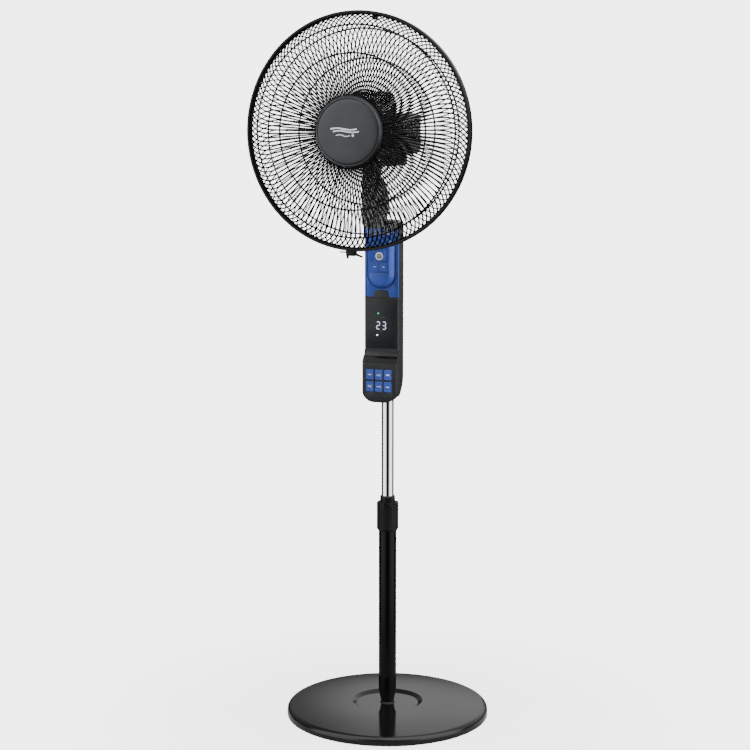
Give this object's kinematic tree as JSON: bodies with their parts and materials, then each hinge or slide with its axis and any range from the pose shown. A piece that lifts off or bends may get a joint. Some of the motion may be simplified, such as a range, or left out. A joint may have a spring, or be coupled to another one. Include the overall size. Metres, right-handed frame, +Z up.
{
  "type": "pedestal fan",
  "caption": "Pedestal fan with round weighted base, telescopic pole, control column with docked remote, tilting and swinging head, wire guards and clear blades.",
  "frame": {"origin": "on the floor, on the pole axis at the centre of the round base", "axes": "+Z up along the pole; the air blows and the controls face towards -Y; +X to the right as seen from behind the camera facing the grille"},
  "size_m": [0.4349, 0.416, 1.3705],
  "materials": {
    "gloss_black_paint": "gloss",
    "ballast": "rough",
    "rubber": "matte",
    "steel": "satin",
    "black_plastic": "satin",
    "gloss_black_plastic": "gloss",
    "chrome": "polished",
    "charcoal_plastic": "satin",
    "blue_plastic": "satin",
    "smoked_lens": "satin",
    "circuit_board": "satin",
    "white_plastic": "gloss",
    "nylon": "satin",
    "laminations": "rough",
    "aluminium": "satin",
    "black_wire": "gloss",
    "clear_plastic": "clear"
  },
  "bodies": {
    "stand": {"base_cover": "gloss_black_paint", "base_weight": "ballast", "base_feet": "rubber", "base_bolt": "steel", "pole_foot": "black_plastic", "outer_pole": "gloss_black_paint", "collar_seat": "black_plastic", "collet": "black_plastic"},
    "collar": {"height_collar": "black_plastic"},
    "column": {"inner_pole": "chrome", "pole_plug": "black_plastic", "column_front": "charcoal_plastic", "column_rear": "charcoal_plastic", "column_cap": "charcoal_plastic", "blue_panel": "blue_plastic", "display_lens": "smoked_lens", "control_boards": "circuit_board", "main_board": "circuit_board", "pole_socket": "black_plastic", "column_screws": "steel", "lead_gland": "rubber", "swing_motor": "steel"},
    "remote": {"remote_front": "blue_plastic", "remote_back": "charcoal_plastic", "battery_door": "charcoal_plastic", "batteries": "steel", "remote_board": "circuit_board"},
    "remote_power": {"power_button": "white_plastic"},
    "remote_less": {"remote_minus": "blue_plastic"},
    "remote_more": {"remote_plus": "blue_plastic"},
    "swivel": {"swivel_post": "steel", "swivel_gear": "nylon", "neck_arm": "black_plastic", "neck_cover": "black_plastic", "tilt_pin": "steel"},
    "pinion": {"drive_pinion": "nylon"},
    "knob": {"tilt_knob": "black_plastic"},
    "head": {"tilt_bracket": "black_plastic", "motor_rear_cover": "black_plastic", "motor_front_cover": "black_plastic", "stator": "laminations", "end_bell": "aluminium", "motor_bearings": "steel", "front_guard": "black_wire", "rear_guard": "black_wire", "guard_nut": "black_plastic", "rim_band": "gloss_black_plastic", "hub_badge": "charcoal_plastic", "latch_body": "black_plastic"},
    "latch": {"latch_lever": "black_plastic"},
    "blade": {"rotor": "aluminium", "motor_shaft": "steel", "fan_blade": "clear_plastic", "spinner_nut": "black_plastic"},
    "key_power": {"key_power": "blue_plastic"},
    "key_speed": {"key_speed": "blue_plastic"},
    "key_timer": {"key_timer": "blue_plastic"},
    "key_mode": {"key_mode": "blue_plastic"},
    "key_swing": {"key_swing": "blue_plastic"},
    "key_sleep": {"key_sleep": "blue_plastic"}
  },
  "joints": [
    {"name": "height_slide", "type": "slide", "parent": "stand", "child": "column", "axis": [0, 0, 1], "range_m": [-0.18, 0.08]},
    {"name": "collar_turn", "type": "hinge", "parent": "stand", "child": "collar", "pos_m": [0, 0, 0.4], "axis": [0, 0, 1], "range_deg": [0, 60]},
    {"name": "swing", "type": "hinge", "parent": "column", "child": "swivel", "pos_m": [0, 0, 0.98], "axis": [0, 0, 1], "range_deg": [-40, 40]},
    {"name": "pinion_turn", "type": "hinge", "parent": "column", "child": "pinion", "pos_m": [0.01819, -0.0105, 0.953], "axis": [0, 0, 1], "range_deg": [-101, 101]},
    {"name": "tilt", "type": "hinge", "parent": "swivel", "child": "head", "pos_m": [0, -0.02, 1.0985], "axis": [-1, 0, 0], "range_deg": [-10, 25]},
    {"name": "knob_turn", "type": "hinge", "parent": "swivel", "child": "knob", "pos_m": [-0.048, -0.02, 1.0985], "axis": [-1, 0, 0], "range_deg": [0, 180]},
    {"name": "blade_spin", "type": "hinge", "parent": "head", "child": "blade", "pos_m": [0, -0.1, 1.153], "axis": [0, -1, 0], "continuous": true},
    {"name": "latch_turn", "type": "hinge", "parent": "head", "child": "latch", "pos_m": [-0.014, -0.16525, 0.9305], "axis": [0, 1, 0], "range_deg": [0, 70]},
    {"name": "remote_pull", "type": "slide", "parent": "column", "child": "remote", "axis": [0, -1, 0], "range_m": [0, 0.08]},
    {"name": "press_power", "type": "slide", "parent": "column", "child": "key_power", "axis": [0, 1, 0], "range_m": [0, 0.001], "stiffness_N_per_m": 400, "springref_m": -0.001},
    {"name": "press_speed", "type": "slide", "parent": "column", "child": "key_speed", "axis": [0, 1, 0], "range_m": [0, 0.001], "stiffness_N_per_m": 400, "springref_m": -0.001},
    {"name": "press_timer", "type": "slide", "parent": "column", "child": "key_timer", "axis": [0, 1, 0], "range_m": [0, 0.001], "stiffness_N_per_m": 400, "springref_m": -0.001},
    {"name": "press_mode", "type": "slide", "parent": "column", "child": "key_mode", "axis": [0, 1, 0], "range_m": [0, 0.001], "stiffness_N_per_m": 400, "springref_m": -0.001},
    {"name": "press_swing", "type": "slide", "parent": "column", "child": "key_swing", "axis": [0, 1, 0], "range_m": [0, 0.001], "stiffness_N_per_m": 400, "springref_m": -0.001},
    {"name": "press_sleep", "type": "slide", "parent": "column", "child": "key_sleep", "axis": [0, 1, 0], "range_m": [0, 0.001], "stiffness_N_per_m": 400, "springref_m": -0.001},
    {"name": "press_remote_power", "type": "slide", "parent": "remote", "child": "remote_power", "axis": [0, 1, 0], "range_m": [0, 0.0008], "stiffness_N_per_m": 300, "springref_m": -0.001},
    {"name": "press_remote_less", "type": "slide", "parent": "remote", "child": "remote_less", "axis": [0, 1, 0], "range_m": [0, 0.0008], "stiffness_N_per_m": 300, "springref_m": -0.001},
    {"name": "press_remote_more", "type": "slide", "parent": "remote", "child": "remote_more", "axis": [0, 1, 0], "range_m": [0, 0.0008], "stiffness_N_per_m": 300, "springref_m": -0.001}
  ],
  "couplings": [
    {"joint": "pinion_turn", "follows": "swing", "ratio": -2.5}
  ]
}
